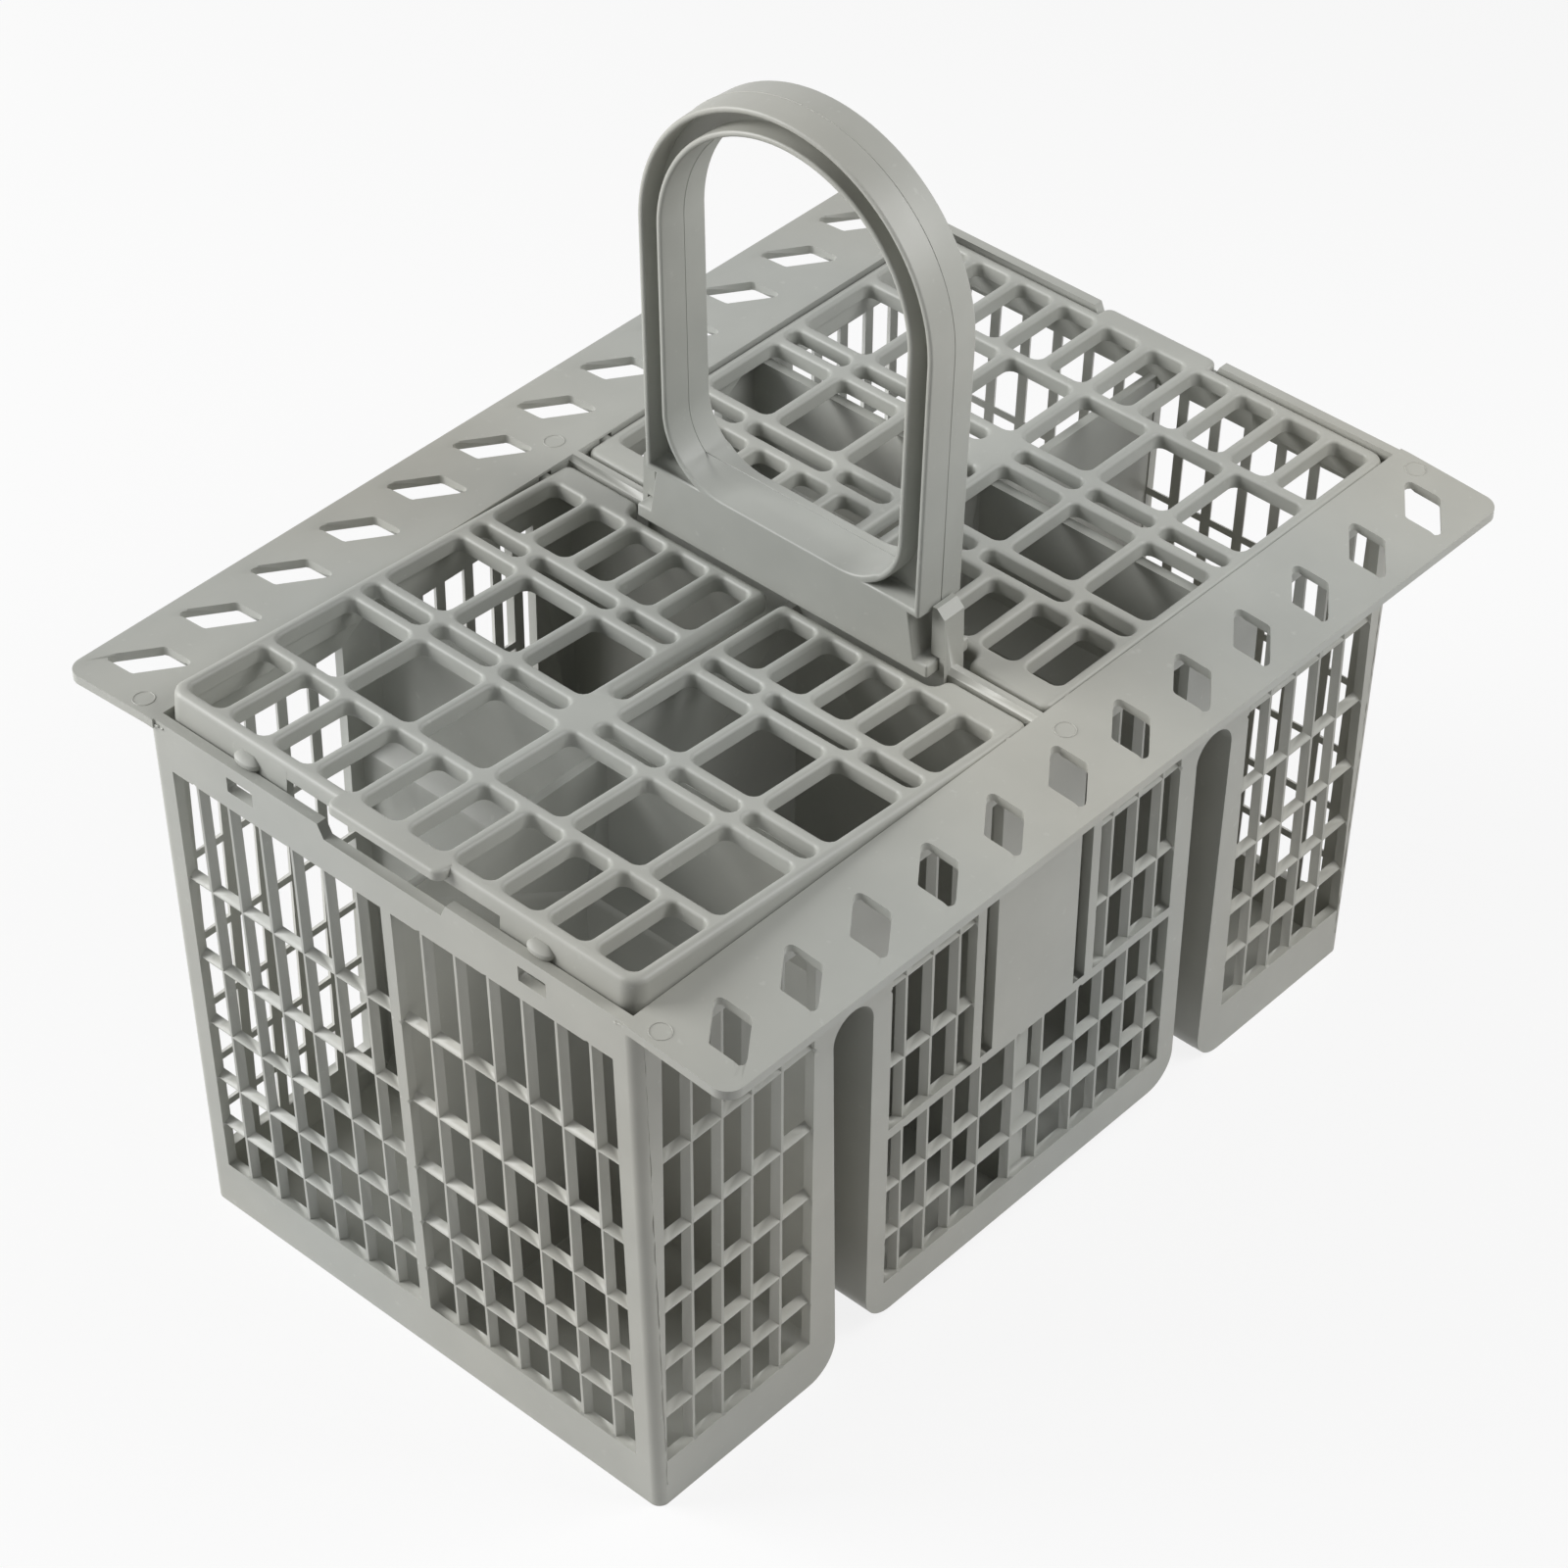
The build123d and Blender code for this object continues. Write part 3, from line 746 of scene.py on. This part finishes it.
class BASKET_OT_lids(bpy.types.Operator):
    """Moulds both lids: a plate with rounded openings, a skirt, a finger tab, snap pegs and hinge pins"""

    bl_idname = "basket.lids"
    bl_label = "Lids"

    def execute(self, context):
        lids = settings().lids
        edges = settings().edges
        grey = plastic("grey_plastic")
        hinges = {joint["name"]: Vector(joint["pos_m"]) for joint in frame["joints"]}
        hinge = hinges["rear_lid_hinge"]
        outlines, top = flat_top("rear_lid")
        low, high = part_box("rear_lid")
        solid = [corner.co for corner in frame["nodes"]["rear_lid"].data.vertices]
        half = max(point.x for point in outlines[0])
        reach = max(point.y for point in outlines[0] if point.x > half / 2)
        edge = [point for point in outlines[0] if point.y < reach + 0.1 * MM]
        plate = plate_tree()
        made = [grown(
            "lid_plate", plate, [cornered(edge, edges.lid_corner)]
            + [cornered(cell, edges.lid_cell) for cell in outlines[1:]],
            height=top, thickness=lids.thickness, edge=edges.lid, opening_edge=edges.lid_bar,
            under_edge=edges.lid_under, steps=edges.steps + 1, corner_steps=edges.corner_steps, material=grey,
        )]

        foot = [corner for corner in solid if corner.z < low[2] + 0.01 * MM]
        start = min(corner.y for corner in foot)
        gap = min(abs(corner.x) for corner in foot)
        hang = top - edges.lid - 0.2 * MM
        proud = 0.02 * MM
        corner = sorted(
            (point for point in edge if point.x > gap and point.y > start), key=lambda at: (-at.x, at.y)
        )
        path = [Vector((half, start)), *corner, Vector((gap, reach))]
        right = [Vector((point.x + proud, point.y + proud, hang)) for point in path]
        left = [Vector((-point.x, point.y, hang)) for point in reversed(right)]
        made.append(grown(
            "lid_skirt", band_tree(), [(run, [0.0] * len(run), False) for run in (right, left)],
            depth=hang - low[2], width=lids.skirt, edge=edges.lid_under, steps=edges.steps, material=grey,
        ))

        tab_half = max(point.x for point in outlines[0] if point.y > reach + 0.1 * MM)
        root = reach - edges.lid - edges.tab - 0.1 * MM
        tab = [Vector((-tab_half, root, 0)), Vector((tab_half, root, 0)),
               Vector((tab_half, high[1], 0)), Vector((-tab_half, high[1], 0))]
        made.append(grown(
            "lid_tab", plate, [(tab, [0.0, 0.0, edges.lid_corner, edges.lid_corner], True)],
            height=top + proud, thickness=lids.tab, edge=edges.tab, opening_edge=edges.tab,
            under_edge=edges.lid_under, steps=edges.steps + 1, corner_steps=edges.corner_steps, material=grey,
        ))

        peg = [point for point in solid if point.y > reach + 0.1 * MM and point.x > tab_half + MM]
        peg_low = (min(point.x for point in peg), reach - lids.skirt / 2, min(point.z for point in peg))
        peg_high = [max(point[axis] for point in peg) for axis in range(3)]
        for hand in (1, -1):
            sides = sorted((hand * peg_low[0], hand * peg_high[0]))
            made.append(snap_peg(
                "lid_peg", (sides[0], *peg_low[1:]), (sides[1], *peg_high[1:]), reach
            ))
            made.append(hinge_pin(
                "lid_pin", hand * (half - lids.skirt), hand * high[0], lids.pin, (hinge.y, hinge.z)
            ))
        mesh = join_meshes("rear_lid_moulding", made)
        weigh_normals(piece("rear_lid_moulding", mesh, "rear_lid", "lid_plastic", "rear_lid"))

        arm = Vector((high[1] - hinge.y, top - hinge.z))
        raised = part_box("front_lid")[1][2] - hinge.z
        lift = math.asin(raised / arm.length) - math.atan2(arm.y, arm.x)
        turned = mesh.copy()
        turned.name = "front_lid_moulding"
        turned.transform(
            Matrix.Translation(hinges["front_lid_hinge"]) @ Matrix.Rotation(-lift, 4, "X")
            @ Matrix.Translation(-hinges["front_lid_hinge"]) @ Matrix.Rotation(math.pi, 4, "Z")
        )
        weigh_normals(piece("front_lid_moulding", turned, "front_lid", "lid_plastic", "front_lid"))
        return {"FINISHED"}


def line_tree():
    """Return the tree of a fine raised line, half sunk in the surface that it runs along."""
    group, given = new_tree("raised_line", ("Thickness",), ("Sides",))
    section = node(
        group, "GeometryNodeCurvePrimitiveCircle",
        {"Resolution": given["Sides"], "Radius": given["Thickness"]},
    )
    swept = node(
        group, "GeometryNodeCurveToMesh",
        {"Curve": given["Geometry"], "Profile Curve": section.outputs[0], "Fill Caps": True},
    )
    end_tree(group, swept.outputs[0], given["Material"])
    return group


def raised_lines(name, runs, thickness):
    """Return the mesh of raised lines along runs of points, each with a flag that says if it is closed."""
    group = bpy.data.node_groups.get("raised_line") or line_tree()
    return grown(
        name, group, [(points, [1.0] * len(points), closed) for points, closed in runs],
        thickness=thickness, sides=6, material=plastic("grey_plastic"),
    )


def ragged(start, stop, count, stray, seed):
    """Return points from one place to another that stray a little, the same way each run."""
    draw = random.Random(seed)
    return [
        Vector(start).lerp(Vector(stop), number / (count - 1))
        + Vector([draw.uniform(-stray, stray) for axis in range(3)])
        for number in range(count)
    ]


class BASKET_OT_marks(bpy.types.Operator):
    """Lays the mould's marks on the body: pin rings on the wings, corner seams and ragged flash"""

    bl_idname = "basket.marks"
    bl_label = "Mould marks"

    def execute(self, context):
        marks = settings().marks
        wings = settings().wings
        facets = 32
        seam_points = 70
        flash_points = 26
        flash_start = (-5 * MM, 1.4 * MM)
        flash_stop = (3 * MM, 1.0 * MM)
        rings = []
        for hand in (-1, 1):
            for along in (-marks.ring_along, 0, marks.ring_along):
                ring = []
                for number in range(facets):
                    angle = math.tau * number / facets
                    across = hand * marks.ring_across + marks.ring * math.cos(angle)
                    ring.append(Vector((across, along + marks.ring * math.sin(angle), wing_height(across))))
                rings.append((ring, True))
        lean = (marks.mouth - marks.foot) / wings.rim
        seams = []
        flashes = []
        for number, (hand, end) in enumerate(((1, -1), (-1, -1), (1, 1), (-1, 1))):
            ends = [
                (hand * wings.wall, end * (marks.foot + lean * height - marks.seam_inset), height)
                for height in (marks.seam_foot, wings.rim - marks.seam_head)
            ]
            seams.append((ragged(*ends, seam_points, marks.stray, number), False))
            if end < 0:
                ends = [
                    (hand * (wings.wall + across), end * marks.mouth, wings.rim - drop)
                    for across, drop in (flash_start, flash_stop)
                ]
                flashes.append((ragged(*ends, flash_points, marks.flash / 2, number), False))
        mesh = join_meshes("mould_marks", [
            raised_lines("pin_rings", rings, marks.ring_line),
            raised_lines("corner_seams", seams, marks.seam),
            raised_lines("corner_flash", flashes, marks.flash),
        ])
        piece("mould_marks", mesh, "basket", "basket_plastic")
        return {"FINISHED"}


class BASKET_OT_handle(bpy.types.Operator):
    """Rounds the clipped-on handle, lets its rims fall away from the seam and runs the seam along them"""

    bl_idname = "basket.handle"
    bl_label = "Handle"

    def execute(self, context):
        edges = settings().edges
        marks = settings().marks
        shape = moulding("handle")
        low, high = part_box("handle")
        depth = high[1]
        bmesh.ops.bisect_plane(
            shape, geom=[*shape.verts, *shape.edges, *shape.faces], dist=0.001 * MM,
            plane_co=(0, 0, 0), plane_no=(0, 1, 0),
        )
        base_height = 20 * MM
        base_top = low[2] + base_height
        centre = Vector((0, 0, (base_top + high[2]) / 2))
        rims = {True: {}, False: {}}
        for face in shape.faces:
            reach = [abs(corner.co.y) for corner in face.verts]
            middle = face.calc_center_median()
            if abs(face.normal.y) > 0.05 or min(reach) > 0.01 * MM or max(reach) < depth - 0.01 * MM:
                continue
            if middle.z < base_top:
                continue
            outer = face.normal.dot(middle - centre) > 0
            for corner in face.verts:
                lean = rims[outer].setdefault(corner, Vector())
                lean += face.normal * face.calc_area()
        seams = []
        for outer, corners in rims.items():
            for corner, lean in corners.items():
                fall = marks.seam if abs(corner.co.y) < 0.01 * MM else marks.seam + marks.draft
                corner.co -= lean.normalized() * fall
            crest = [corner for corner in corners if abs(corner.co.y) < 0.01 * MM]
            for corner in crest:
                for edge in corner.link_edges:
                    edge.smooth = edge.smooth and edge.other_vert(corner) not in crest
            run = sorted(
                (corner.co.copy() for corner in crest),
                key=lambda point: math.atan2(point.x - centre.x, centre.z - point.z),
            )
            seams.append((run, not outer))
        soften(shape, edges.handle, edges.steps)
        mesh = join_meshes(
            "handle_moulding",
            [finished(shape, "handle_rim"), raised_lines("handle_seam", seams, marks.seam)],
        )
        weigh_normals(piece("handle_moulding", mesh, "basket", "handle_plastic", "handle"))
        return {"FINISHED"}


class BASKET_OT_stage(bpy.types.Operator):
    """Sets the floor, the light and the camera"""

    bl_idname = "basket.stage"
    bl_label = "Studio"

    def execute(self, context):
        stage = settings().stage
        scene = context.scene
        scene.view_settings.view_transform = "Standard"

        floor_mesh = bpy.data.meshes.new("pale_floor")
        half = 4.0
        floor_mesh.from_pydata(
            [(-half, -half, 0), (half, -half, 0), (half, half, 0), (-half, half, 0)], [], [(0, 1, 2, 3)]
        )
        floor = bpy.data.objects.new("pale_floor", floor_mesh)
        scene.collection.objects.link(floor)
        floor_mesh.materials.append(pale_floor())

        world = bpy.data.worlds.new("soft_studio")
        world.use_nodes = True
        scene.world = world
        nodes = world.node_tree.nodes
        links = world.node_tree.links
        level = nodes.new("ShaderNodeMix")
        level.inputs["A"].default_value = stage.fill
        level.inputs["B"].default_value = 1.0
        links.new(seen(nodes, links), level.inputs["Factor"])
        nodes["Background"].inputs["Color"].default_value = (1, 1, 1, 1)
        links.new(level.outputs["Result"], nodes["Background"].inputs["Strength"])

        aim = Vector(stage.aim)
        for name, place, size, watts in (
            ("key_light", Vector(stage.key_place), stage.key_size, stage.key_watts),
            ("side_light", Vector(stage.side_place), stage.side_size, stage.side_watts),
        ):
            lamp = bpy.data.lights.new(name, "AREA")
            lamp.size = size
            lamp.energy = watts
            holder = bpy.data.objects.new(name, lamp)
            scene.collection.objects.link(holder)
            holder.visible_camera = False
            holder.matrix_world = Matrix.Translation(place) @ (
                (aim - place).to_track_quat("-Z", "Y").to_matrix().to_4x4()
            )

        back = Vector((
            math.sin(stage.azimuth) * math.cos(stage.elevation),
            -math.cos(stage.azimuth) * math.cos(stage.elevation),
            math.sin(stage.elevation),
        ))
        level_right = Vector((math.cos(stage.azimuth), math.sin(stage.azimuth), 0))
        level_up = back.cross(level_right)
        right = math.cos(stage.roll) * level_right + math.sin(stage.roll) * level_up
        up = back.cross(right)
        lens = bpy.data.cameras.new("photo_camera")
        lens.lens = stage.lens
        lens.sensor_width = 36.0
        lens.clip_start = 0.01
        lens.clip_end = 50.0
        camera = bpy.data.objects.new("photo_camera", lens)
        scene.collection.objects.link(camera)
        camera.matrix_world = Matrix.Translation(Vector(stage.camera_place)) @ (
            Matrix((right, up, back)).transposed().to_4x4()
        )
        scene.camera = camera
        return {"FINISHED"}


def seen(nodes, links):
    """Return a socket that is 1 for rays that show the background and 0 for rays that light the object."""
    path = nodes.new("ShaderNodeLightPath")
    first = nodes.new("ShaderNodeMath")
    first.operation = "MAXIMUM"
    links.new(path.outputs["Is Camera Ray"], first.inputs[0])
    links.new(path.outputs["Is Glossy Ray"], first.inputs[1])
    second = nodes.new("ShaderNodeMath")
    second.operation = "MAXIMUM"
    links.new(first.outputs[0], second.inputs[0])
    links.new(path.outputs["Is Transmission Ray"], second.inputs[1])
    return second.outputs[0]


def pale_floor():
    """Return the floor's white, which keeps a faint shadow of the object."""
    material = bpy.data.materials.new("pale_floor")
    material.use_nodes = True
    nodes = material.node_tree.nodes
    links = material.node_tree.links
    nodes.remove(nodes["Principled BSDF"])
    paper = nodes.new("ShaderNodeBsdfDiffuse")
    paper.inputs["Color"].default_value = (0.9, 0.9, 0.9, 1)
    glow = nodes.new("ShaderNodeEmission")
    share = nodes.new("ShaderNodeMath")
    share.operation = "MULTIPLY"
    share.inputs[1].default_value = 0.85
    links.new(seen(nodes, links), share.inputs[0])
    mix = nodes.new("ShaderNodeMixShader")
    links.new(share.outputs[0], mix.inputs["Fac"])
    links.new(paper.outputs["BSDF"], mix.inputs[1])
    links.new(glow.outputs["Emission"], mix.inputs[2])
    links.new(mix.outputs["Shader"], nodes["Material Output"].inputs["Surface"])
    return material


class BASKET_PT_panel(bpy.types.Panel):
    """Lists the steps and the settings"""

    bl_idname = "BASKET_PT_panel"
    bl_label = "Cutlery basket"
    bl_space_type = "VIEW_3D"
    bl_region_type = "UI"
    bl_category = "Basket"

    def draw(self, context):
        for operator in OPERATORS:
            self.layout.operator(operator.bl_idname)
        for group in ("edges", "wings", "bays", "lids", "marks", "finish", "stage"):
            box = self.layout.box()
            values = getattr(settings(), group)
            for name in values.__annotations__:
                box.prop(values, name)


OPERATORS = (BASKET_OT_body, BASKET_OT_marks, BASKET_OT_lids, BASKET_OT_handle, BASKET_OT_stage)
GROUPS = (
    BasketEdges, BasketWings, BasketBays, BasketLids, BasketMarks, BasketFinish, BasketStage, BasketSettings,
)


def register():
    for item in (*GROUPS, *OPERATORS, BASKET_PT_panel):
        bpy.utils.register_class(item)
    bpy.types.Scene.cutlery_basket = PointerProperty(type=BasketSettings)


def unregister():
    del bpy.types.Scene.cutlery_basket
    for item in reversed((*GROUPS, *OPERATORS, BASKET_PT_panel)):
        bpy.utils.unregister_class(item)


def main():
    register()
    bpy.ops.basket.body()
    bpy.ops.basket.marks()
    bpy.ops.basket.lids()
    bpy.ops.basket.handle()
    bpy.ops.basket.stage()


if __name__ == "__main__":
    main()
